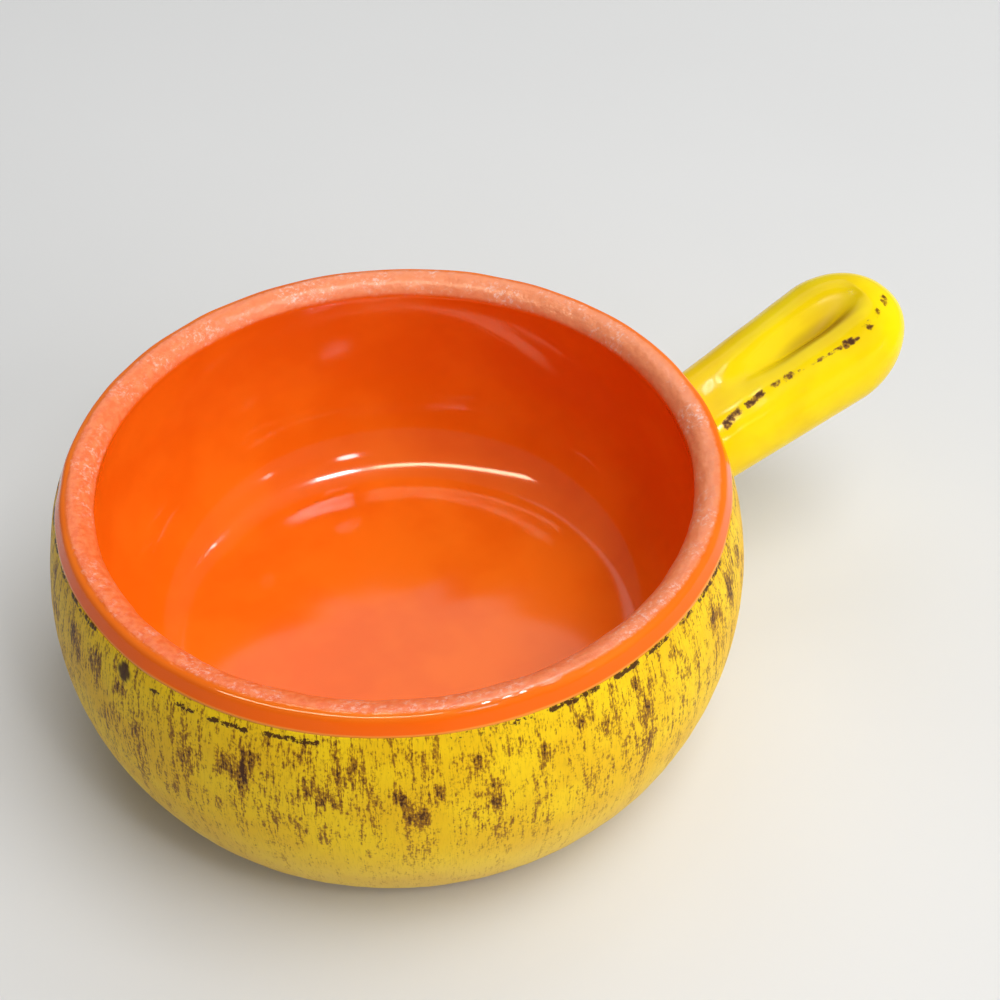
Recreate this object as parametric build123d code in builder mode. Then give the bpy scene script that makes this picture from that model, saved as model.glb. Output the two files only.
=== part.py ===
import os
from math import acos, cos, degrees, exp, pi, radians, sin, sqrt, tan
from build123d import *

os.makedirs("parts", exist_ok=True)

# Bowl, in millimetres, measured on the clay
belly_radius = 69.6
belly_height = 34.3
foot_radius = 55.6
foot_rounding = 3.0
tuck_under = 26.2
bowl_height = 59.9
wall = 6.6
floor_thickness = 8.6
floor_corner = 17.0

# Lip: a thick roll, domed on top, with a ridge outside and an edge that overhangs the wall inside
lip_width = 6.7
line_radius = 65.4
line_drop = 3.1
ridge_inset = 1.3
ridge_drop = 0.2
crown_inset = 2.8
edge_drop = 3.0

# Glaze coats, and the bare ring left round the foot
glaze = 0.4
ridge_share = 0.75
foot_wipe = 1.5

# Handle, measured from the bowl axis
handle_reach = 124.0
handle_slope = 19.0
handle_height = 32.8
root_width = 25.6
tip_width = 31.6
root_thickness = 19.2
tip_thickness = 21.4
oval_power = 2.2
section_points = 96
slip = 0.8

# Thumb groove along the top of the handle: a broad hollow, and in it a crease that is steeper towards -Y
groove_side = -0.5
groove_half_width = 6.0
groove_root_depth = 1.5
groove_depth = 2.4
groove_rise = 12.0
groove_end_turn = 25.0
crease_start = 12.0
crease_depth = 2.8
crease_near_width = 2.0
crease_far_width = 3.5

# Sizes that follow from the ones above
tuck_radius = belly_radius - tuck_under
tuck_depth = belly_height / sqrt(1 - ((foot_radius - tuck_radius) / tuck_under) ** 2)
line_height = bowl_height - line_drop
edge_height = bowl_height - edge_drop
ridge_height = bowl_height - ridge_drop
ridge_radius = line_radius - ridge_inset
crown_radius = line_radius - crown_inset
mouth_radius = line_radius - lip_width
hollow_radius = belly_radius - wall
floor_radius = hollow_radius - floor_corner
root_station = belly_radius - wall / 2
bulb_radius = tip_width / 2
bulb_station = handle_reach - bulb_radius
groove_end = bulb_station + bulb_radius * sin(radians(groove_end_turn))
groove_deepest = groove_end - groove_rise
crease_station = root_station + crease_start


def outside_curve(skin, low):
    """Outer curve of the bowl from a height up to the colour line, moved out by skin."""
    depth = tuck_depth + skin
    turn = 90 - degrees(acos((belly_height - low) / depth))
    EllipticalCenterArc((tuck_radius, belly_height), tuck_under + skin, depth, 360 - turn, arc_size=turn)
    TangentArc((belly_radius + skin, belly_height), (line_radius + skin, line_height), tangent=(0, 1))


def inside_curve(skin):
    """Inner curve of the bowl from the axis over the lip to the colour line, moved in by skin."""
    deck = floor_thickness + skin
    rise = belly_height - deck
    edge = (mouth_radius - skin, edge_height)
    crown = (crown_radius, bowl_height + skin)
    ridge = (ridge_radius + skin * ridge_share, ridge_height + skin * ridge_share)
    Line((0, deck), (floor_radius, deck))
    EllipticalCenterArc((floor_radius, belly_height), floor_corner - skin, rise, 270, arc_size=90)
    TangentArc((hollow_radius - skin, belly_height), edge, tangent=(0, 1))
    TangentArc(crown, edge, tangent=(-1, 0))
    TangentArc(crown, ridge, tangent=(1, 0))
    Line(ridge, (line_radius + skin, line_height))


def curve_radius(skin, low):
    """Radius of the outer curve, moved out by skin, at a height below the belly."""
    turn = acos((belly_height - low) / (tuck_depth + skin))
    return tuck_radius + (tuck_under + skin) * sin(turn)


def filled_bowl(skin):
    """The bowl without its hollow, moved out by skin: what the handle end is cut to."""
    with BuildPart() as plug:
        with BuildSketch(Plane.XZ):
            with BuildLine():
                Line((0, foot_wipe), (curve_radius(skin, foot_wipe), foot_wipe))
                outside_curve(skin, foot_wipe)
                Line((line_radius + skin, line_height), (0, line_height))
                Line((0, line_height), (0, foot_wipe))
            make_face()
        revolve(axis=Axis.Z)
    return plug.part


def share_between(value, low, high):
    """How far a value is from low to high, held between 0 and 1."""
    return min(1.0, max(0.0, (value - low) / (high - low)))


def groove_dip(station, across):
    """Depth of the thumb groove: both its hollow and its crease deepen outwards, then rise to nothing."""
    off = across - groove_side
    growing = share_between(station, root_station, groove_deepest)
    hollow = groove_root_depth + (groove_depth - groove_root_depth) * growing
    folding = share_between(station, crease_station, groove_deepest)
    crease = crease_depth * folding ** 2 * (3 - 2 * folding)
    crease_width = crease_near_width if off < 0 else crease_far_width
    ending = cos(pi / 2 * share_between(station, groove_deepest, groove_end))
    return ending * (hollow * exp(-((off / groove_half_width) ** 2)) + crease * exp(-((off / crease_width) ** 2)))


def handle_points(station, swell, skin):
    """Section of the handle at a station: a squared oval, swell times full size, with the groove on top."""
    share = share_between(station, root_station, bulb_station)
    half_width = (root_width + (tip_width - root_width) * share) / 2 * swell + skin * swell
    half_height = (root_thickness + (tip_thickness - root_thickness) * share) / 2 * swell + skin * swell
    points = []
    for step in range(section_points):
        turn = 2 * pi * step / section_points
        across = half_width * abs(cos(turn)) ** (2 / oval_power) * (1 if cos(turn) >= 0 else -1)
        up = half_height * abs(sin(turn)) ** (2 / oval_power) * (1 if sin(turn) >= 0 else -1)
        points.append((across, up - groove_dip(station, across) * max(0.0, sin(turn))))
    return points


def handle_form(skin):
    """The whole handle from inside the wall to its rounded end, moved out by skin."""
    reach = handle_reach + skin
    span = bulb_station - root_station
    stations = [(root_station - wall, 1.0), (root_station, 1.0)]
    stations += [(root_station + span * part, 1.0) for part in (0.2, 0.4, 0.6, 0.75, 0.88)]
    for angle in (0, 12, 25, 40, 55, 68, 79):
        bend = radians(angle)
        stations.append((bulb_station + (bulb_radius + skin) * sin(bend), cos(bend)))
    sections = []
    for station, swell in stations:
        height = handle_height + tan(radians(handle_slope)) * (station - root_station)
        plane = Plane((station, 0, height), x_dir=(0, 1, 0), z_dir=(1, 0, 0))
        with BuildSketch(plane) as section:
            with BuildLine():
                Spline(*handle_points(station, swell, skin), periodic=True)
            make_face()
        sections.append(section.sketch.face())
    sections.append(Vertex(reach, 0, handle_height + tan(radians(handle_slope)) * (reach - root_station)))
    with BuildPart() as form:
        loft(sections)
    return form.part


core = handle_form(0)
coated = handle_form(glaze)
bowl_plug = filled_bowl(0)
slip_plug = filled_bowl(slip)

with BuildPart() as bowl_body:
    with BuildSketch(Plane.XZ):
        with BuildLine():
            Line((0, 0), (foot_radius, 0))
            outside_curve(0, 0)
            inside_curve(0)
            Line((0, floor_thickness), (0, 0))
        make_face()
    revolve(axis=Axis.Z)
    fillet(bowl_body.edges().filter_by(GeomType.CIRCLE).sort_by(Axis.Z)[0], foot_rounding)
bowl_body.part.label = "bowl_body"
export_step(bowl_body.part, "parts/bowl_body.step")

with BuildPart() as handle:
    add(core)
    add(slip_plug, mode=Mode.SUBTRACT)
handle.part.label = "handle"
export_step(handle.part, "parts/handle.step")

with BuildPart() as joint_slip:
    add(core)
    add(slip_plug, mode=Mode.INTERSECT)
    add(bowl_plug, mode=Mode.SUBTRACT)
joint_slip.part.label = "joint_slip"
export_step(joint_slip.part, "parts/joint_slip.step")

with BuildPart() as interior_glaze:
    with BuildSketch(Plane.XZ):
        with BuildLine():
            inside_curve(0)
            inside_curve(glaze)
            Line((0, floor_thickness), (0, floor_thickness + glaze))
            Line((line_radius, line_height), (line_radius + glaze, line_height))
        make_face()
    revolve(axis=Axis.Z)
interior_glaze.part.label = "interior_glaze"
export_step(interior_glaze.part, "parts/interior_glaze.step")

with BuildPart() as exterior_glaze:
    with BuildSketch(Plane.XZ):
        with BuildLine():
            outside_curve(0, foot_wipe)
            outside_curve(glaze, foot_wipe)
            Line((curve_radius(0, foot_wipe), foot_wipe), (curve_radius(glaze, foot_wipe), foot_wipe))
            Line((line_radius, line_height), (line_radius + glaze, line_height))
        make_face()
    revolve(axis=Axis.Z)
    add(coated, mode=Mode.SUBTRACT)
exterior_glaze.part.label = "exterior_glaze"
export_step(exterior_glaze.part, "parts/exterior_glaze.step")

with BuildPart() as handle_glaze:
    add(coated)
    add(core, mode=Mode.SUBTRACT)
    add(bowl_plug, mode=Mode.SUBTRACT)
handle_glaze.part.label = "handle_glaze"
export_step(handle_glaze.part, "parts/handle_glaze.step")
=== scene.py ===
"""Looks of a handled earthenware soup bowl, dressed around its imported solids."""

import bmesh
import bpy
import numpy as np
from mathutils import Matrix, Vector


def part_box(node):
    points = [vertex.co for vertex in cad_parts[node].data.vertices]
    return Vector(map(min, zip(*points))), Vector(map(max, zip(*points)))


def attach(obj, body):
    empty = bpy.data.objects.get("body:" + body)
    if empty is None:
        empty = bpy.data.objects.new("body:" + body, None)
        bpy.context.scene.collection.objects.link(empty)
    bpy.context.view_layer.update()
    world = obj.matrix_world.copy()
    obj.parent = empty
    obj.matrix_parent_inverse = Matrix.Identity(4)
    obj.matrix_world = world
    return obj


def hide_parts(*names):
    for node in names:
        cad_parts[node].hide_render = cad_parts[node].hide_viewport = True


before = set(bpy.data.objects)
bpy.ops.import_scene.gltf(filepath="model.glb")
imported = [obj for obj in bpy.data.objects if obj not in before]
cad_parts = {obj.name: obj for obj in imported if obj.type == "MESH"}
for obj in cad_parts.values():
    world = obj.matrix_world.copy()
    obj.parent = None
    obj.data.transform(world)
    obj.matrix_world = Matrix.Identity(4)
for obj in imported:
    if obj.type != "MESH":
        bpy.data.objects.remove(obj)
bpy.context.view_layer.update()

# Sizes read from the frame, in metres
_, body_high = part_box("bowl_body")
lining_low, lining_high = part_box("interior_glaze")
jacket_low, jacket_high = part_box("exterior_glaze")
_, grip_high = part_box("handle_glaze")
glaze = lining_high.z - body_high.z
belly_radius = body_high.x
crown_height = body_high.z
line_radius = lining_high.x - glaze
line_height = jacket_high.z
floor_height = lining_low.z
wipe_height = jacket_low.z
handle_reach = grip_high.x - glaze
tip_half_width = grip_high.y - glaze

# Bowl sizes that no box gives
belly_height = 0.0343
foot_radius = 0.0556
tuck_under = 0.0262
wall = 0.0066
floor_corner = 0.017
tuck_radius = belly_radius - tuck_under
tuck_depth = belly_height / np.sqrt(1 - ((foot_radius - tuck_radius) / tuck_under) ** 2)
floor_radius = belly_radius - wall - floor_corner

# Lip sizes that no box gives; the ridge share is how much of the coat's thickness the ridge keeps
lip_width = 0.0067
edge_drop = 0.003
crown_inset = 0.0028
ridge_inset = 0.0013
ridge_drop = 0.0002
ridge_share = 0.75
mouth_radius = line_radius - lip_width
edge_height = crown_height - edge_drop
crown_radius = line_radius - crown_inset
ridge_radius = line_radius - ridge_inset
ridge_height = crown_height - ridge_drop

# Handle sizes that no box gives; the gather is the reach of the glaze caught in the corner at the
# wall, and the sink is how far the coat's end reaches into the bowl's coat
handle_height = 0.0328
handle_rise = np.tan(np.radians(19.0))
root_station = belly_radius - wall / 2
root_half_width = 0.0128
root_half_height = 0.0096
tip_half_height = 0.0107
oval_power = 2.2
bulb_station = handle_reach - tip_half_width
glaze_gather = 0.0016
root_sink = 0.0004

# Thumb groove: a broad hollow, and in it a crease that is steeper on its near side
groove_side = -0.0005
groove_half_width = 0.006
groove_root_depth = 0.0015
groove_depth = 0.0024
groove_rise = 0.012
groove_end = bulb_station + tip_half_width * np.sin(np.radians(25))
crease_start = 0.012
crease_depth = 0.0028
crease_near_width = 0.0020
crease_far_width = 0.0035

# Camera, fitted to the photograph
camera_azimuth = np.radians(-24.52)
camera_elevation = np.radians(42.168)
camera_distance = 0.3142
camera_pan = np.radians(3.649)
camera_tilt = np.radians(-1.442)
camera_roll = np.radians(-3.47)
camera_lens = 57.6
camera_sensor = 36.0
camera_clip = 0.01
rim_level = 0.0584

# Widths over which the corners of each section are rounded
lining_rounding = 0.0011
jacket_rounding = 0.0005
clay_rounding = 0.0009

# Fineness of the grids; points closer than same_point become one
columns = 600
fine_step = 0.0001
lip_step = 0.0003
wall_step = 0.0013
clay_step = 2 * wall_step
hidden_step = 4 * wall_step
same_point = 1e-7


def arc(start, end, heading, count=40):
    """Circle arc that leaves start along heading and ends at end.

    With d = end - start and n the normal of heading, its radius is d.d / (2 d.n), and its centre
    lies that far along n."""
    start = np.asarray(start, float)
    chord = np.asarray(end, float) - start
    normal = np.array([-heading[1], heading[0]])
    radius = chord @ chord / (2 * (chord @ normal))
    centre = start + radius * normal
    first = np.arctan2(*(start - centre)[::-1])
    sweep = np.arctan2(*(start + chord - centre)[::-1]) - first
    sweep = (sweep + np.pi) % (2 * np.pi) - np.pi
    turn = first + sweep * np.linspace(0, 1, count)
    return centre + abs(radius) * np.stack([np.cos(turn), np.sin(turn)], 1)


def tuck(centre, across, down, first, last, count=60):
    """Ellipse below its centre, from angle first to last.

    Its points lie across * sin(a) outwards and down * cos(a) downwards."""
    turn = np.linspace(first, last, count)
    return np.array(centre) + np.stack([across * np.sin(turn), -down * np.cos(turn)], 1)


def inside_line(skin):
    """Section of the inside, from the axis over the lip to the colour line, moved in by skin."""
    deck = floor_height + skin
    hollow = belly_radius - wall - skin
    edge = (mouth_radius - skin, edge_height)
    crown = (crown_radius, crown_height + skin)
    ridge = (ridge_radius + ridge_share * skin, ridge_height + ridge_share * skin)
    corner = (floor_radius, belly_height)
    return np.concatenate([
        [(0, deck)],
        tuck(corner, floor_corner - skin, belly_height - deck, 0, np.pi / 2),
        arc((hollow, belly_height), edge, (0, 1))[1:],
        arc(crown, edge, (-1, 0))[-2::-1],
        arc(crown, ridge, (1, 0))[1:],
        [(line_radius + skin, line_height)],
    ])


def outside_line(skin, low):
    """Section of the outside, from the colour line down to a height, moved out by skin."""
    depth = tuck_depth + skin
    last = np.arccos((belly_height - low) / depth)
    widest = (belly_radius + skin, belly_height)
    shoulder = arc(widest, (line_radius + skin, line_height), (0, 1))
    lower = tuck((tuck_radius, belly_height), tuck_under + skin, depth, last, np.pi / 2)
    return np.concatenate([shoulder[::-1], lower[-2::-1]])


def along(line):
    """Distance along a line of points, from its first point."""
    return np.concatenate([[0], np.cumsum(np.hypot(*np.diff(line, axis=0).T))])


def even(line, step):
    """The same line with points at an even step."""
    far = along(line)
    places = np.linspace(0, far[-1], int(np.ceil(far[-1] / step)) + 1)
    return np.stack([np.interp(places, far, line[:, k]) for k in (0, 1)], 1)


def soften(line, width):
    """Rounds corners: each point becomes the raised-cosine mean of its neighbours within width."""
    line = even(line, fine_step)
    reach = int(width / fine_step)
    window = np.hanning(2 * reach + 3)[1:-1]
    window = window / window.sum()
    padded = np.concatenate([
        2 * line[0] - line[reach:0:-1],
        line,
        2 * line[-1] - line[-2:-reach - 2:-1],
    ])
    return np.stack([np.convolve(padded[:, k], window, "valid") for k in (0, 1)], 1)


def spread(line, step):
    """Points of a fine line at a step that may vary along it."""
    count = np.concatenate([[0], np.cumsum(np.diff(along(line)) / step[1:])])
    places = np.linspace(0, count[-1], int(count[-1]) + 1)
    return np.stack([np.interp(places, count, line[:, k]) for k in (0, 1)], 1)


def spin(line, relief=None):
    """Section turned about the axis, (r cos t, r sin t, z), and pushed along its normal by relief."""
    turn = np.linspace(0, 2 * np.pi, columns, endpoint=False)
    radius = np.repeat(line[:, :1], columns, 1)
    height = np.repeat(line[:, 1:], columns, 1)
    if relief is not None:
        slope = np.gradient(line, axis=0)
        slope /= np.hypot(*slope.T)[:, None]
        radius = radius - slope[:, 1:] * relief
        height = height + slope[:, :1] * relief
    return np.stack([radius * np.cos(turn), radius * np.sin(turn), height], -1)


def mottle(shape, rows, across, seed):
    """Smooth seamless noise: white noise without its waves under so many rows and columns."""
    waves = np.fft.rfft2(np.random.default_rng(seed).standard_normal(shape))
    down = np.fft.fftfreq(shape[0])[:, None] * rows
    side = np.fft.rfftfreq(shape[1])[None, :] * across
    field = np.fft.irfft2(waves * np.exp(-2 * (down ** 2 + side ** 2)), shape)
    return field / field.std()


def ease(value, low, high):
    """Smooth step from 0 at low to 1 at high."""
    share = np.clip((value - low) / (high - low), 0, 1)
    return share * share * (3 - 2 * share)


def weave(name, grid, marks, loop=False, split=None):
    """Closed mesh of a grid: rows along the section, columns closed round.

    loop joins the last row to the first, and split names a row that isn't joined to the next."""
    rows, around = grid.shape[:2]
    first = np.arange(rows if loop else rows - 1)
    if split is not None:
        first = first[first != split]
    here = (first[:, None] * around + np.arange(around)).ravel()
    below = ((first + 1) % rows)[:, None] * around
    side = (np.arange(around) + 1) % around
    corners = np.stack([
        here,
        (below + np.arange(around)).ravel(),
        (below + side).ravel(),
        (first[:, None] * around + side).ravel(),
    ], 1)
    mesh = bpy.data.meshes.new(name)
    mesh.from_pydata(grid.reshape(-1, 3).tolist(), [], corners.tolist())
    for mark, values in marks.items():
        kind, field = ("FLOAT_VECTOR", "vector") if values.ndim == 3 else ("FLOAT", "value")
        layer = mesh.attributes.new(mark, kind, "POINT")
        layer.data.foreach_set(field, values.astype(np.float32).ravel())
    work = bmesh.new()
    work.from_mesh(mesh)
    bmesh.ops.remove_doubles(work, verts=work.verts, dist=same_point)
    work.to_mesh(mesh)
    work.free()
    mesh.polygons.foreach_set("use_smooth", np.ones(len(mesh.polygons), bool))
    piece = bpy.data.objects.new(name, mesh)
    bpy.context.scene.collection.objects.link(piece)
    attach(piece, "root")
    return piece


# Orange coat, in metres: where its grid turns fine below the lip's inner edge, where the lip starts
# at that edge, where the rubbing starts inside the ridge, where the ripple starts off the axis, where
# the hem starts above the colour line, how soon outside the ridge the outer band is full, and reliefs
grid_lead, grid_fine = 0.004, 0.002
lip_fade = 0.0006
rub_start, rub_full = 0.0004, 0.0014
swell_start, swell_full = 0.004, 0.03
hem_start, hem_full = 0.0006, 0.0002
band_fade = 0.0008
swell_height = 0.00005
lump_height = 0.00003
lip_wave_height = 0.00006
broad_lumps = 0.7
# Side of the lip where the painted sheen is strongest
sheen_angle = np.radians(20.0)


def round_bowl(values, hidden_rows, hidden_value):
    """A mark that is the same all round the bowl: one value a row, then rows of the hidden side."""
    shown = np.repeat(values[:, None], columns, 1)
    return np.concatenate([shown, np.full((hidden_rows, columns), hidden_value)])


def make_lining():
    """Orange coat: the glazed inside line out, the clay line back, both turned about the axis.

    The floor and wall ripple a little, and the rubbed top of the lip is lumpy."""
    fine = soften(inside_line(glaze), lining_rounding)
    near_lip = ease(fine[:, 1], edge_height - grid_lead, edge_height - grid_fine)
    show = spread(fine, wall_step + (lip_step - wall_step) * near_lip)
    clay_line = even(inside_line(0), fine_step)
    back = spread(clay_line, np.full(len(clay_line), hidden_step))
    shape = (len(show), columns)
    lip = ease(show[:, 1], edge_height - lip_fade, edge_height + lip_fade)
    top = lip * ease(ridge_radius - show[:, 0], rub_start, rub_full)
    swell = mottle(shape, rows=14, across=40, seed=3)
    swell = swell * ease(show[:, 0], swell_start, swell_full)[:, None]
    lumps = mottle(shape, rows=5, across=4, seed=4)
    lumps = lumps + broad_lumps * mottle(shape, rows=9, across=9, seed=5)
    waves = mottle(shape, rows=30, across=14, seed=6)
    relief = swell_height * swell * (1 - lip[:, None]) + lump_height * lumps * top[:, None]
    relief = relief + lip_wave_height * waves * lip[:, None]
    grid = np.concatenate([spin(show, relief), spin(back[::-1])])
    around = np.linspace(0, 2 * np.pi, columns, endpoint=False)
    far = along(show)
    marks = {
        "rubbed": round_bowl(top, len(back), 0.0),
        # Painted sheen: a share that is highest on one side of the lip and lowest on the other
        "lip_sheen": np.repeat(0.5 + 0.5 * np.cos(around - sheen_angle)[None, :], len(grid), 0),
        "hem": round_bowl(ease(far, far[-1] - hem_start, far[-1] - hem_full), len(back), 1.0),
        "outer": round_bowl(ease(show[:, 0], ridge_radius, ridge_radius + band_fade), len(back), 0.0),
    }
    piece = weave("orange_lining", grid, marks)
    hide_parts("interior_glaze")
    return piece


# Beds of brown dry-brush strokes on the wall: angle in degrees, then height, half width and half
# height in millimetres, and load; the set is repeated round the wall
brush_beds = [
    (-176, 48, 1.7, 3.0, 0.7),
    (-170, 48, 1.4, 3.8, 1.0),
    (-163, 50, 2.0, 2.3, 0.7),
    (-160, 44, 2.0, 3.0, 0.5),
    (-152, 34, 2.0, 3.0, 0.4),
    (-149, 46, 1.7, 3.8, 0.7),
    (-143, 47, 1.7, 2.3, 1.1),
    (-140, 45, 1.4, 3.0, 1.0),
    (-139, 50, 2.0, 2.3, 0.7),
    (-132, 52, 2.8, 2.3, 0.5),
    (-130, 45, 1.4, 2.3, 1.1),
    (-129, 34, 2.8, 2.3, 0.5),
    (-127, 43, 1.7, 2.3, 1.0),
    (-124, 49, 2.8, 3.8, 0.6),
    (-117, 45, 1.4, 2.3, 1.1),
    (-115, 40, 2.0, 3.0, 1.0),
    (-114, 52, 2.8, 2.3, 0.6),
    (-111, 45, 1.4, 2.3, 1.0),
    (-106, 51, 2.0, 2.3, 0.5),
    (-103, 42, 2.0, 3.8, 0.8),
    (-102, 31, 2.8, 3.0, 0.5),
    (-99, 52, 1.7, 1.7, 0.8),
    (-95, 48, 2.0, 1.7, 0.7),
    (-89, 52, 2.0, 2.3, 0.7),
    (-88, 38, 2.0, 3.0, 0.5),
    (-85, 48, 1.4, 2.3, 1.1),
    (-79, 52, 1.4, 1.7, 1.1),
    (-77, 46, 1.4, 2.3, 0.9),
    (-76, 38, 2.0, 3.0, 0.4),
    (-70, 52, 1.7, 1.7, 0.8),
    (-67, 46, 2.0, 2.3, 0.7),
    (-58, 50, 1.7, 3.0, 1.0),
    (-50, 50, 1.7, 3.0, 0.8),
]
bed_turns = (0, 120, 240)
plain_load = 0.42
most_load = 1.35
brush_fade_low = 0.016
brush_fade_high = 0.040

# Stretches of dark dabs under the colour line: first and last angle in degrees, millimetres below it,
# and load; each fades at its ends, in degrees, and across its line, in metres
dab_runs = [
    (-157, -154, 2.3, 0.63),
    (-152, -148, 2.2, 0.73),
    (-146, -139, 1.9, 0.83),
    (-137, -128, 1.6, 0.73),
    (-110, -104, 0.85, 0.48),
    (-100, -96, 0.65, 0.58),
    (-94, -85, 0.55, 0.83),
    (-82, -77, 0.55, 0.98),
    (-75, -70, 0.45, 0.78),
    (-67, -63, 0.45, 0.73),
    (-61, -56, 0.45, 0.78),
    (-55, -51, 0.45, 0.88),
]
dab_end_out, dab_end_in = 0.8, 0.6
dab_edge, dab_core = 0.0011, 0.0002

# One dark blob under the colour line
blob_angle = -162.6
blob_depth = 0.0028
blob_half_width = 0.0017
blob_half_height = 0.0022
blob_edge, blob_core = 1.05, 0.85

# Yellow coat, in metres: the step of its grid by the colour line, how much coarser it gets below and
# where, the heights of its swell and of its upright ridges, and where they start
rim_step, rim_step_growth = 0.0004, 0.00035
growth_start, growth_end = 0.004, 0.008
jacket_swell_height = 0.00005
jacket_ridge_height = 0.00002
jacket_relief_full = 0.002


def turned_by(angle, place):
    """Signed difference of two angles in degrees, from -180 to 180."""
    return (angle - place + 180) % 360 - 180


def brush_load(angle, height):
    """Load of the brown brush: a light veil and a sum of soft ovals, fading out towards the foot."""
    load = np.full(np.broadcast_shapes(angle.shape, height.shape), plain_load)
    for place, level, half_width, half_height, strength in brush_beds:
        for turn in bed_turns:
            away = np.radians(turned_by(angle, place + turn)) * belly_radius * 1000
            rise = (height * 1000 - level) / half_height
            load = load + strength * np.exp(-((away / half_width) ** 2) - rise ** 2)
    return np.minimum(load, most_load) * ease(height, brush_fade_low, brush_fade_high)


def dab_load(angle, depth):
    """Load of the dabs under the colour line: smooth-ended stretches, repeated round the wall."""
    load = np.zeros(np.broadcast_shapes(angle.shape, depth.shape))
    for first, last, level, strength in dab_runs:
        half = (last - first) / 2
        line = ease(-np.abs(depth - level / 1000), -dab_edge, -dab_core)
        for turn in bed_turns:
            off = np.abs(turned_by(angle, (first + last) / 2 + turn))
            ends = ease(-off, -half - dab_end_out, -half + dab_end_in)
            load = np.maximum(load, strength * ends * line)
    return load


def make_jacket():
    """Yellow coat: the glazed outside line down, the clay line back up, turned about the axis."""
    fine = soften(outside_line(glaze, wipe_height), jacket_rounding)
    show = spread(fine, rim_step + rim_step_growth * ease(along(fine), growth_start, growth_end))
    back = even(outside_line(0, wipe_height), hidden_step)
    shape = (len(show), columns)
    relief = jacket_swell_height * mottle(shape, rows=20, across=44, seed=11)
    relief = relief + jacket_ridge_height * mottle(shape, rows=12, across=4, seed=12)
    relief *= ease(along(show), 0, jacket_relief_full)[:, None]
    grid = np.concatenate([spin(show, relief), spin(back[::-1])])
    angle = np.linspace(0, 360, columns, endpoint=False)[None, :]
    lines = np.concatenate([show, back[::-1]])
    depth = np.concatenate([along(show), along(back)[::-1]])[:, None]
    blob_side = np.radians(turned_by(angle, blob_angle)) * belly_radius / blob_half_width
    blob_rise = (depth - blob_depth) / blob_half_height
    marks = {
        "brush": brush_load(angle, lines[:, 1:]),
        "band": dab_load(angle, depth),
        "spot": ease(-np.hypot(blob_side, blob_rise), -blob_edge, -blob_core),
        "wrap": np.stack([
            np.repeat(belly_radius * np.cos(np.radians(angle)), len(lines), 0),
            np.repeat(belly_radius * np.sin(np.radians(angle)), len(lines), 0),
            np.repeat(depth, columns, 1),
        ], -1),
    }
    piece = weave("yellow_jacket", grid, marks, loop=True)
    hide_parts("exterior_glaze")
    return piece


def make_clay():
    """Fired clay: the inside line, the outside line to the foot, and the flat foot to the axis."""
    foot = np.array([(foot_radius, 0), (0, 0)])
    outline = np.concatenate([inside_line(0), outside_line(0, 0)[1:-1], foot])
    fine = soften(outline, clay_rounding)
    show = spread(fine, np.full(len(fine), clay_step))
    show[:, 1] = np.maximum(show[:, 1], 0)
    show[[0, -1], 0] = 0
    piece = weave("clay_body", spin(show), {})
    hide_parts("bowl_body")
    return piece


def bowl_edge(height):
    """Radius of the glazed outside at a height: a circle arc above the belly, an ellipse below."""
    run = line_height - belly_height
    inset = belly_radius - line_radius
    bend = (run ** 2 + inset ** 2) / (2 * inset)
    above = np.sqrt(np.maximum(bend ** 2 - (height - belly_height) ** 2, 0))
    above = belly_radius - bend + above
    fall = np.clip((belly_height - height) / tuck_depth, 0, 1)
    below = tuck_radius + tuck_under * np.sqrt(1 - fall ** 2)
    return np.where(height > belly_height, above, below) + glaze


def groove_dip(station, across):
    """Depth of the thumb groove, and the share of its crease.

    Hollow and crease are each depth * exp(-((across - side) / width)^2). Both deepen from the wall
    and rise to nothing at the end."""
    deepest = groove_end - groove_rise
    ending = np.cos(np.pi / 2 * np.clip((station - deepest) / groove_rise, 0, 1))
    growing = np.clip((station - root_station) / (deepest - root_station), 0, 1)
    folding = ease(station, root_station + crease_start, deepest)
    off = across - groove_side
    hollow = groove_root_depth + (groove_depth - groove_root_depth) * growing
    hollow = hollow * ending * np.exp(-((off / groove_half_width) ** 2))
    width = np.where(off < 0, crease_near_width, crease_far_width)
    crease = crease_depth * folding * ending * np.exp(-((off / width) ** 2))
    return hollow + crease, crease / crease_depth


def middle_line(station):
    """Height of the straight line that the handle rises along."""
    return handle_height + handle_rise * (station - root_station)


def handle_place(station, turn, swell, skin):
    """Sideways place and height of a point of the handle, a squared oval with the groove on top.

    across = w cos^(2/p) and up = h sin^(2/p), less the groove's depth on the upper half."""
    share = np.clip((station - root_station) / (bulb_station - root_station), 0, 1)
    wide = (root_half_width + (tip_half_width - root_half_width) * share + skin) * swell
    high = (root_half_height + (tip_half_height - root_half_height) * share + skin) * swell
    across = wide * np.sign(np.cos(turn)) * np.abs(np.cos(turn)) ** (2 / oval_power)
    up = high * np.sign(np.sin(turn)) * np.abs(np.sin(turn)) ** (2 / oval_power)
    dip, _ = groove_dip(station, across)
    return across, middle_line(station) + up - dip * np.maximum(np.sin(turn), 0)


def handle_root(turn, skin, rounds=12):
    """Station where each line along the handle meets the glazed wall: x = sqrt(r(z)^2 - y^2).

    It is found by putting x back in, round after round."""
    station = np.full_like(turn, belly_radius)
    for _ in range(rounds):
        across, height = handle_place(station, turn, 1.0, skin)
        station = np.sqrt(np.maximum(bowl_edge(height) ** 2 - across ** 2, 0))
    return station


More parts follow.
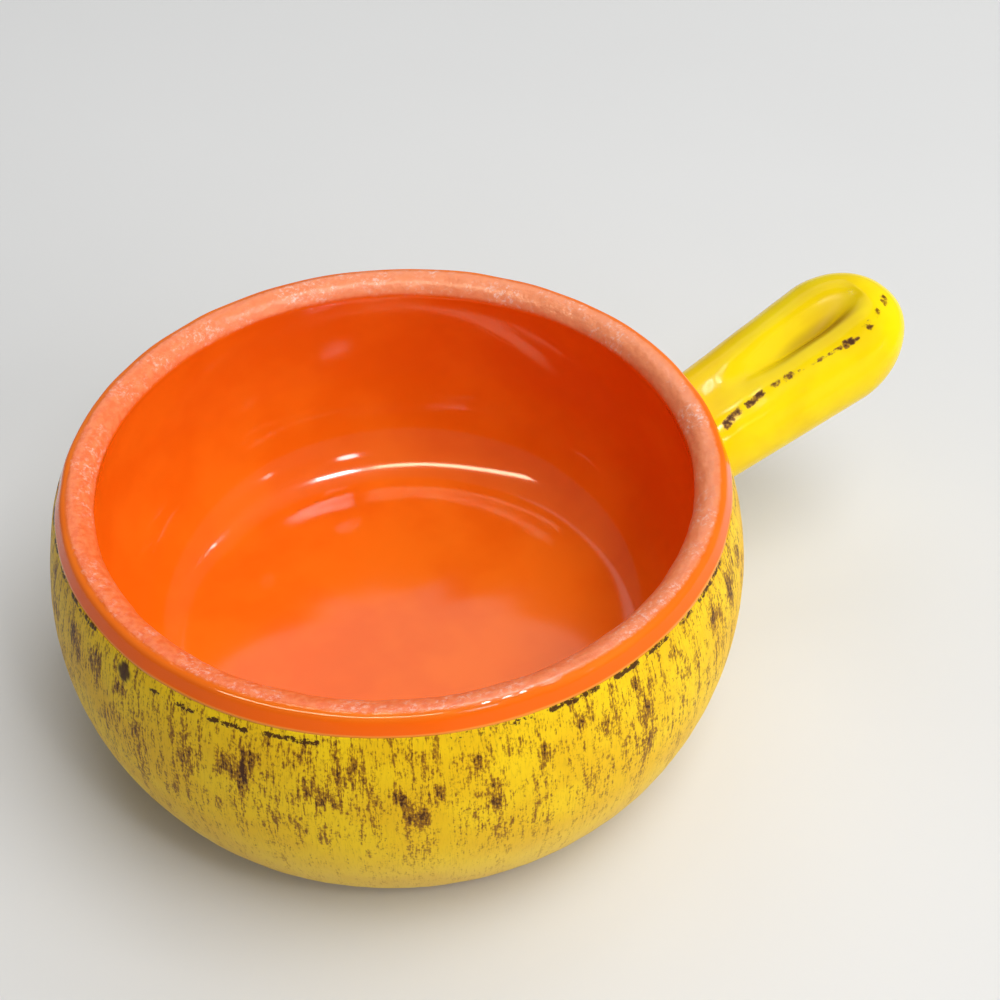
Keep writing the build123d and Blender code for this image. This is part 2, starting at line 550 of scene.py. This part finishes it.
def handle_skin(skin, gather, rows, around, crowding=1.35, least=1e-6):
    """Grid of the handle from the wall to its round end, with the glaze gathered at the wall.

    Rows crowd towards the wall, and a gather of nothing counts as the least there is."""
    turn = -np.linspace(0, 2 * np.pi, around, endpoint=False)[None, :]
    root = handle_root(turn, skin + gather) - root_sink
    straight = np.linspace(0, 1, rows)[:, None] ** crowding
    bend = np.linspace(0, np.pi / 2, rows // 2)[1:, None]
    bulb = tip_half_width + skin
    station = np.concatenate([
        root + (bulb_station - root) * straight,
        np.repeat(bulb_station + bulb * np.sin(bend), around, 1),
    ])
    swell = np.concatenate([np.ones((rows, 1)), np.cos(bend)])
    near = np.clip(1 - (station - root) / max(gather, least), 0, 1)
    pooled = gather * (1 - np.sqrt(1 - near ** 2))
    across, height = handle_place(station, turn, swell, skin + pooled)
    return np.stack([station, across, height], -1), turn


# Stretches of the dab line along the handle: first and last distance from the bowl's axis and half
# width, in millimetres, and load; each fades at its ends, in millimetres, and across its line, in
# half widths
grip_dabs = [
    (74, 78.6, 1.0, 1.0),
    (80.4, 84.5, 0.85, 0.8),
    (87, 88.7, 0.75, 0.75),
    (89.8, 92.3, 0.9, 0.8),
    (93, 103, 0.5, 0.85),
    (104, 107.6, 0.9, 0.78),
    (109.2, 111.4, 1.2, 1.0),
    (113, 114.8, 1.1, 1.0),
    (116.5, 118.8, 1.4, 1.0),
]
grip_end_out, grip_end_in = 0.8, 0.4
grip_edge, grip_core = 1.4, 0.5
# That line's distance from the handle's middle, its bends at the two ends and its drift between them
grip_line = -7.7
root_bend, root_bend_station = 0.016, 83
drift, drift_start, drift_end = 2.0, 84, 106
tip_bend, tip_bend_station = 0.032, 106

# Painted shade: an amber line down the groove's near side, in metres: its distance from the middle,
# where it starts and ends along the handle, and where it fades across
shade_side = -0.0033
shade_start, shade_full = 0.086, 0.101
shade_fade, shade_end = 0.106, 0.1145
shade_edge, shade_core = 0.0021, 0.0003

# Grid of the handle's coat, and its ripple, which calms before the tip and stops on the underside
handle_columns = 300
handle_rows = 170
handle_hidden_rows = 30
ripple_height = 0.00004
ripple_calm = 0.010
ripple_lowest = -0.2


def on_top(grid):
    """Which points of the handle lie above its middle line."""
    return grid[..., 2] > middle_line(grid[..., 0])


def grip_load(grid):
    """Load of the dabs along the handle's near crest, on a line that turns in round the tip."""
    station = grid[..., 0] * 1000
    line = grip_line - root_bend * np.minimum(station - root_bend_station, 0) ** 2
    line = line - drift * ease(station, drift_start, drift_end)
    line = line + tip_bend * np.maximum(station - tip_bend_station, 0) ** 2
    off = np.abs(grid[..., 1] * 1000 - line)
    load = np.zeros_like(station)
    for first, last, half_width, strength in grip_dabs:
        half = (last - first) / 2
        apart = np.abs(station - (first + last) / 2)
        ends = ease(-apart, -half - grip_end_out, -half + grip_end_in)
        stroke = ease(-off / half_width, -grip_edge, -grip_core)
        load = np.maximum(load, strength * ends * stroke)
    return load * on_top(grid)


def crease_shade(grid):
    """Share of the amber line of painted shade down the groove's near side."""
    station = grid[..., 0]
    run = ease(station, shade_start, shade_full) * ease(-station, -shade_end, -shade_fade)
    line = ease(-np.abs(grid[..., 1] - shade_side), -shade_edge, -shade_core)
    return run * line * on_top(grid)


def make_handle_coat():
    """Yellow coat on the handle: its outer skin out to the tip, the clay's skin back to the wall."""
    shown, turn = handle_skin(glaze, glaze_gather, handle_rows, handle_columns)
    inner, _ = handle_skin(0.0, 0.0, handle_hidden_rows, handle_columns)
    calm = ease(-shown[..., 0], -bulb_station - ripple_calm, -bulb_station)
    ripple = mottle(shown.shape[:2], rows=16, across=20, seed=21) * calm
    shown[..., 2] += ripple_height * ripple * (np.sin(turn) > ripple_lowest)
    grid = np.concatenate([shown, inner[::-1]])
    _, pool = groove_dip(grid[..., 0], grid[..., 1])
    marks = {"dabs": grip_load(grid), "pool": pool * on_top(grid), "shade": crease_shade(grid)}
    piece = weave("handle_coat", grid, marks, loop=True, split=len(shown) - 1)
    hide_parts("handle_glaze")
    return piece


def colour(red, green, blue):
    """A linear colour with full cover."""
    return (red, green, blue, 1.0)


# Orange glaze: two tones inside and one on the outer band; rubbed and pitted, with painted sheen
# that pales one side of the lip; and its hem
orange_deep, orange_light = colour(0.86, 0.150, 0.004), colour(0.92, 0.185, 0.007)
orange_outer = colour(1.0, 0.135, 0.001)
salmon_deep, salmon_light = colour(0.83, 0.130, 0.022), colour(0.90, 0.200, 0.055)
lip_sheen_pale = colour(0.92, 0.36, 0.17)
pit_pale = colour(0.94, 0.58, 0.47)
hem_pale = colour(0.93, 0.44, 0.06)
# Yellow glaze: on the bowl, in its hairs, and a pale tone by the foot that is painted sheen; on the
# handle, and amber in its groove, partly painted shade
yellow_deep, yellow_light = colour(0.87, 0.52, 0.002), colour(0.94, 0.62, 0.004)
hair_tone = colour(0.50, 0.28, 0.010)
foot_sheen_tone = colour(0.66, 0.50, 0.19)
grip_deep, grip_light = colour(0.89, 0.62, 0.001), colour(0.94, 0.71, 0.002)
amber_and_shade_tone = colour(0.32, 0.14, 0.001)
# Brushwork, from a wash to nearly black
brown_wash = colour(0.50, 0.23, 0.003)
brown_thin = colour(0.24, 0.080, 0.003)
brown_full = colour(0.055, 0.013, 0.001)
# Clay and its grog; floor and sky
clay_deep, clay_light = colour(0.36, 0.125, 0.055), colour(0.47, 0.18, 0.085)
grog_pale = colour(0.60, 0.36, 0.22)
floor_deep, floor_light = colour(0.70, 0.70, 0.69), colour(0.74, 0.74, 0.73)
sky_tone = colour(0.94, 0.96, 1.0)
sky_strength = 0.18
# Where a cloud of noise turns from one tone to the other
cloud_low, cloud_high = 0.35, 0.65
# Sizes in the finishes, in metres: the height over the floor at which the wall's gloss takes over,
# the depths under the colour line at which painted sheen pales the yellow and the two browns give
# out, and bumps
deck_top, deck_end = 0.001, 0.004
sheen_start, sheen_end = 0.024, 0.050
thin_start, thin_end = 0.022, 0.044
full_start, full_end = 0.014, 0.034
orange_bump = 0.0002
yellow_bump = 0.00005
handle_bump = 0.0002
clay_bump = 0.00012


class Finish:
    """A material and short calls for the nodes that its finish is made of."""

    def __init__(self, name):
        self.material = bpy.data.materials.new(name)
        self.material.use_nodes = True
        self.tree = self.material.node_tree
        self.shader = self.tree.nodes["Principled BSDF"]

    def put(self, socket, value):
        """Sets a socket to a value, or links it to another node's output."""
        if isinstance(value, bpy.types.NodeSocket):
            self.tree.links.new(value, socket)
        else:
            socket.default_value = value

    def node(self, kind, inputs, **settings):
        """A new node of a kind, with its settings and inputs filled in."""
        node = self.tree.nodes.new(kind)
        for name, value in settings.items():
            setattr(node, name, value)
        for key, value in inputs.items():
            self.put(node.inputs[key], value)
        return node

    def place(self):
        """Place on the piece, in metres."""
        return self.node("ShaderNodeTexCoord", {}).outputs["Object"]

    def mark(self, name, output="Fac"):
        """One of the marks that the mesh carries."""
        return self.node("ShaderNodeAttribute", {}, attribute_name=name).outputs[output]

    def third(self, vector):
        """Last of a vector's three values."""
        return self.node("ShaderNodeSeparateXYZ", {0: vector}).outputs[2]

    def noise(self, vector, scale, detail=2.0, rough=0.5):
        """Cloudy noise from 0 to 1, with so many features a metre."""
        inputs = {"Vector": vector, "Scale": scale, "Detail": detail, "Roughness": rough}
        return self.node("ShaderNodeTexNoise", inputs).outputs["Fac"]

    def brushed(self, vector, around, down, detail, rough):
        """Noise with so many features a metre round the wall and down it."""
        inputs = {"Vector": vector, "Scale": (around, around, down)}
        stretched = self.node("ShaderNodeMapping", inputs).outputs[0]
        return self.noise(stretched, 1.0, detail, rough)

    def math(self, operation, first, second):
        return self.node("ShaderNodeMath", {0: first, 1: second}, operation=operation).outputs[0]

    def times(self, first, second):
        return self.math("MULTIPLY", first, second)

    def plus(self, first, second):
        return self.math("ADD", first, second)

    def less(self, first, second):
        return self.math("SUBTRACT", first, second)

    def most(self, first, second):
        return self.math("MAXIMUM", first, second)

    def ease(self, value, low, high):
        """Smooth step from 0 at low to 1 at high."""
        inputs = {"Value": value, "From Min": low, "From Max": high}
        node = self.node("ShaderNodeMapRange", inputs, interpolation_type="SMOOTHSTEP")
        return node.outputs["Result"]

    def blend(self, share, first, second):
        """Mix of two values by a share from 0 to 1."""
        inputs = {"Value": share, "To Min": first, "To Max": second}
        return self.node("ShaderNodeMapRange", inputs).outputs["Result"]

    def mix(self, share, first, second):
        """Mix of two colours by a share from 0 to 1."""
        inputs = {0: share, 6: first, 7: second}
        return self.node("ShaderNodeMix", inputs, data_type="RGBA").outputs[2]

    def bump(self, height, distance):
        """Normal of a surface that a height from 0 to 1 lifts by a distance."""
        return self.node("ShaderNodeBump", {"Height": height, "Distance": distance}).outputs[0]

    def finish(self, **sockets):
        """Sets the shader's sockets by name, with spaces written as underscores."""
        for name, value in sockets.items():
            self.put(self.shader.inputs[name.replace("_", " ")], value)
        return self.material


def orange_finish():
    """Glossy orange glaze, rubbed to salmon with pale pits on top of the lip, painted sheen paling
    one side of it, and a pale hem.
    """
    f = Finish("orange_glaze")
    place = f.place()
    rubbed = f.mark("rubbed")
    hem = f.mark("hem")
    outer = f.mark("outer")
    cloud = f.noise(place, 45.0, 3.0)
    grain = f.noise(place, 700.0, 4.0, 0.6)
    patch = f.noise(place, 110.0, 3.0, 0.6)
    pits = f.noise(place, 1100.0, 5.0, 0.8)
    lip_sheen = f.mark("lip_sheen")
    inner_tone = f.mix(f.ease(cloud, cloud_low, cloud_high), orange_deep, orange_light)
    glaze_tone = f.mix(outer, inner_tone, orange_outer)
    salmon = f.mix(f.ease(grain, 0.36, 0.64), salmon_deep, salmon_light)
    # Painted sheen: towards one side of the lip the salmon turns paler and the pale pits show more
    sheened_salmon = f.mix(f.times(lip_sheen, 0.6), salmon, lip_sheen_pale)
    pale = f.times(f.ease(patch, 0.44, 0.62), f.ease(pits, 0.50, 0.62))
    worn_and_sheened = f.mix(f.times(pale, f.blend(lip_sheen, 0.55, 0.9)), sheened_salmon, pit_pale)
    share = f.times(rubbed, f.ease(f.plus(grain, f.times(rubbed, 0.5)), 0.5, 0.8))
    body = f.mix(share, glaze_tone, worn_and_sheened)
    edged = f.mix(f.times(hem, 0.6), body, hem_pale)
    raised = f.ease(f.third(place), floor_height + deck_top, floor_height + deck_end)
    deck = f.less(1.0, raised)
    smooth = f.blend(deck, f.blend(cloud, 0.06, 0.10), f.blend(cloud, 0.10, 0.15))
    lumps = f.plus(f.times(grain, share), f.times(cloud, 0.4))
    return f.finish(
        Base_Color=edged,
        Roughness=f.blend(share, smooth, f.blend(grain, 0.22, 0.42)),
        IOR=1.5,
        Specular_IOR_Level=f.blend(outer, 0.5, 0.2),
        Normal=f.bump(lumps, orange_bump),
    )


def brown_over(f, wash, thin, full, base):
    """Brown brushwork over a base colour: an amber wash, then warm brown, then nearly black."""
    tinted = f.mix(f.times(wash, 0.55), base, brown_wash)
    washed = f.mix(f.times(thin, 0.8), tinted, brown_thin)
    return f.mix(f.times(full, 0.96), washed, brown_full)


def yellow_finish():
    """Satin yellow glaze with fine upright streaks, paled towards the foot by painted sheen, under
    dry brown brushwork.
    """
    f = Finish("yellow_glaze")
    wrap = f.mark("wrap", "Vector")
    depth = f.third(wrap)
    brush = f.mark("brush")
    band = f.mark("band")
    spot = f.mark("spot")
    streak = f.brushed(wrap, 1700, 250, 3.0, 0.6)
    hairs = f.brushed(wrap, 3600, 420, 2.0, 0.6)
    lanes = f.brushed(wrap, 420, 45, 2.0, 0.5)
    clumps = f.brushed(wrap, 460, 380, 3.0, 0.55)
    crumbs = f.brushed(wrap, 2000, 1500, 2.0, 0.6)
    cloud = f.brushed(wrap, 60, 90, 3.0, 0.5)
    bright = f.mix(f.ease(cloud, cloud_low, cloud_high), yellow_deep, yellow_light)
    streaked = f.mix(f.times(f.ease(hairs, 0.50, 0.72), 0.25), bright, hair_tone)
    # Painted sheen: the yellow turns pale cream towards the foot
    foot_sheened = f.mix(f.times(f.ease(depth, sheen_start, sheen_end), 0.40), streaked, foot_sheen_tone)
    uneven = f.plus(f.times(streak, 0.40), f.times(clumps, 0.22))
    bristle = f.plus(f.times(hairs, 0.20), f.times(crumbs, 0.34))
    loaded = f.plus(f.times(brush, 0.135), f.times(lanes, 0.25))
    pressure = f.plus(f.plus(uneven, bristle), f.less(loaded, 0.207))
    wash = f.ease(pressure, 0.530, 0.620)
    thin = f.times(f.ease(pressure, 0.580, 0.655), f.ease(depth, thin_end, thin_start))
    full = f.times(f.ease(pressure, 0.655, 0.730), f.ease(depth, full_end, full_start))
    beads = f.brushed(wrap, 1100, 1100, 3.0, 0.7)
    dabs = f.ease(f.plus(f.times(band, 0.40), beads), 0.70, 0.80)
    rim_dabs = f.times(dabs, f.ease(band, 0.02, 0.15))
    dark = f.most(f.most(full, rim_dabs), spot)
    return f.finish(
        Base_Color=brown_over(f, wash, thin, dark, foot_sheened),
        Roughness=f.blend(hairs, 0.42, 0.56),
        IOR=1.38,
        Specular_IOR_Level=0.28,
        Normal=f.bump(f.plus(hairs, dark), yellow_bump),
    )


def handle_finish():
    """Glossy yellow glaze, duller and amber down the groove, with a line of painted shade on its near
    side, and brown dabs along one crest.
    """
    f = Finish("handle_yellow_glaze")
    place = f.place()
    dabs = f.mark("dabs")
    cloud = f.noise(place, 70.0, 3.0)
    grain = f.noise(place, 900.0, 3.0, 0.6)
    gaps = f.noise(place, 190.0, 3.0, 0.6)
    tone = f.mix(f.ease(cloud, cloud_low, cloud_high), grip_deep, grip_light)
    pool = f.mark("pool")
    # Amber at the crease's bottom, and painted shade in a line down its near side
    sunk = f.times(f.ease(pool, 0.55, 1.0), 0.5)
    crease_amber_and_shade = f.most(sunk, f.times(f.mark("shade"), 0.85))
    amber = f.mix(crease_amber_and_shade, tone, amber_and_shade_tone)
    press = f.plus(f.times(gaps, 0.60), f.times(grain, 0.40))
    strokes = f.ease(f.plus(press, f.times(dabs, 0.17)), 0.53, 0.76)
    broken = f.times(strokes, f.ease(dabs, 0.02, 0.25))
    thin = f.ease(broken, 0.15, 0.6)
    full = f.ease(broken, 0.45, 0.95)
    rough = f.blend(f.ease(pool, 0.05, 0.4), f.blend(cloud, 0.13, 0.17), 0.50)
    return f.finish(
        Base_Color=brown_over(f, broken, thin, full, amber),
        Roughness=f.blend(broken, rough, 0.60),
        IOR=1.28,
        Normal=f.bump(f.plus(cloud, f.times(grain, 0.05)), handle_bump),
    )


def clay_finish():
    """Matt fired red clay, speckled with grog."""
    f = Finish("bare_clay")
    place = f.place()
    cloud = f.noise(place, 120.0, 4.0, 0.6)
    grog = f.noise(place, 2200.0, 2.0, 0.7)
    tone = f.mix(f.ease(cloud, 0.3, 0.7), clay_deep, clay_light)
    return f.finish(
        Base_Color=f.mix(f.times(f.ease(grog, 0.6, 0.7), 0.5), tone, grog_pale),
        Roughness=f.blend(cloud, 0.75, 0.92),
        Normal=f.bump(grog, clay_bump),
    )


def floor_finish():
    """Plain pale floor, very slightly clouded."""
    f = Finish("pale_floor")
    cloud = f.noise(f.place(), 6.0, 3.0)
    return f.finish(Base_Color=f.mix(cloud, floor_deep, floor_light), Roughness=0.6)


def dress(piece, material):
    """Gives a piece one material."""
    piece.data.materials.clear()
    piece.data.materials.append(material)


def make_floor(half=3.0):
    """Flat square under the foot."""
    corners = [(-half, -half, 0), (half, -half, 0), (half, half, 0), (-half, half, 0)]
    mesh = bpy.data.meshes.new("floor")
    mesh.from_pydata(corners, [], [(0, 1, 2, 3)])
    floor = bpy.data.objects.new("floor", mesh)
    bpy.context.scene.collection.objects.link(floor)
    dress(floor, floor_finish())


# Lights: place and aim in metres, size in metres, power in watts
bowl_middle = (0.02, 0.0, 0.03)
key_place = (0.034, -0.020, 0.215)
tube_place = (-0.20, -0.04, 0.515)
tube_turn = np.radians(-21.5)
tube_tint = (1.0, 0.82, 0.55)
# A lamp that faces the floor aims this far off, which settles how its long side lies
down_offset = -0.0001


def under(place):
    """Point on the floor under a place, a little off."""
    return (place[0], place[1] + down_offset, 0.0)


def lamp(
    name, place, aim, size, power,
    turn=0.0, tint=(1.0, 1.0, 1.0), mirrored=True, lighting=True,
):
    """Rectangular light that faces aim, turned about its own axis.

    One that isn't mirrored leaves no image in the glaze, and one that isn't lighting leaves only
    that."""
    data = bpy.data.lights.new(name, "AREA")
    data.shape = "RECTANGLE"
    data.size, data.size_y = size
    data.energy = power
    data.color = tint
    light = bpy.data.objects.new(name, data)
    light.visible_camera = False
    light.visible_glossy = mirrored
    light.visible_diffuse = lighting
    bpy.context.scene.collection.objects.link(light)
    facing = (Vector(aim) - Vector(place)).to_track_quat("-Z", "Y").to_matrix().to_4x4()
    light.matrix_world = Matrix.Translation(place) @ facing @ Matrix.Rotation(turn, 4, "Z")


def make_lights():
    """Broad soft lights all round, a small one in front, and lamps that show only in the glaze."""
    lamp("overhead", (0.42, -0.50, 1.75), bowl_middle, (1.2, 1.2), 21.0, mirrored=False)
    lamp("side", (1.30, 0.35, 1.20), bowl_middle, (1.2, 1.2), 6.5, mirrored=False)
    lamp("fill", (0.50, -1.05, 0.50), bowl_middle, (1.0, 0.8), 7.0, mirrored=False)
    lamp("back", (0.25, 0.93, 1.15), bowl_middle, (0.8, 1.1), 2.8)
    lamp("front", (-0.005, -0.30, 0.39), bowl_middle, (0.05, 0.05), 0.17)
    lamp("key", key_place, under(key_place), (0.031, 0.020), 0.11, lighting=False)
    lamp("spark", (0.57, -0.88, 0.74), (0.11, 0.0, 0.055), (0.08, 0.08), 0.16, lighting=False)
    lamp(
        "root", (0.072, 0.041, 0.137), (0.0765, 0.0025, 0.045), (0.005, 0.005), 0.005,
        lighting=False,
    )
    lamp(
        "tube", tube_place, under(tube_place), (0.42, 0.05), 1.7,
        turn=tube_turn, tint=tube_tint, lighting=False,
    )
    world = bpy.data.worlds.new("studio")
    world.use_nodes = True
    sky = world.node_tree.nodes["Background"]
    sky.inputs["Color"].default_value = sky_tone
    sky.inputs["Strength"].default_value = sky_strength
    bpy.context.scene.world = world


def make_camera():
    """Camera that looks at the rim's centre, then pans, tilts and rolls as the photograph does."""
    away = np.array([np.sin(camera_azimuth), -np.cos(camera_azimuth), np.tan(camera_elevation)])
    back = away * np.cos(camera_elevation)
    right = np.array([np.cos(camera_azimuth), np.sin(camera_azimuth), 0])
    up = np.cross(right, -back)
    ahead = -back + np.tan(camera_pan) * right + np.tan(camera_tilt) * up
    ahead /= np.linalg.norm(ahead)
    right = np.cross(ahead, up)
    right /= np.linalg.norm(right)
    up = np.cross(right, ahead)
    turned = np.cos(camera_roll) * right + np.sin(camera_roll) * up
    upright = np.cos(camera_roll) * up - np.sin(camera_roll) * right
    place = np.array([0, 0, rim_level]) + camera_distance * back
    axes = np.stack([turned, upright, -ahead, place], 1)
    data = bpy.data.cameras.new("camera")
    data.lens = camera_lens
    data.sensor_width = camera_sensor
    data.clip_start = camera_clip
    camera = bpy.data.objects.new("camera", data)
    bpy.context.scene.collection.objects.link(camera)
    camera.matrix_world = Matrix(axes.tolist() + [[0, 0, 0, 1]])
    bpy.context.scene.camera = camera


dress(make_lining(), orange_finish())
dress(make_jacket(), yellow_finish())
dress(make_handle_coat(), handle_finish())
clay = clay_finish()
dress(make_clay(), clay)
dress(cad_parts["handle"], clay)
dress(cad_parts["joint_slip"], clay)
make_floor()
make_lights()
make_camera()
bpy.context.scene.view_settings.view_transform = "Standard"
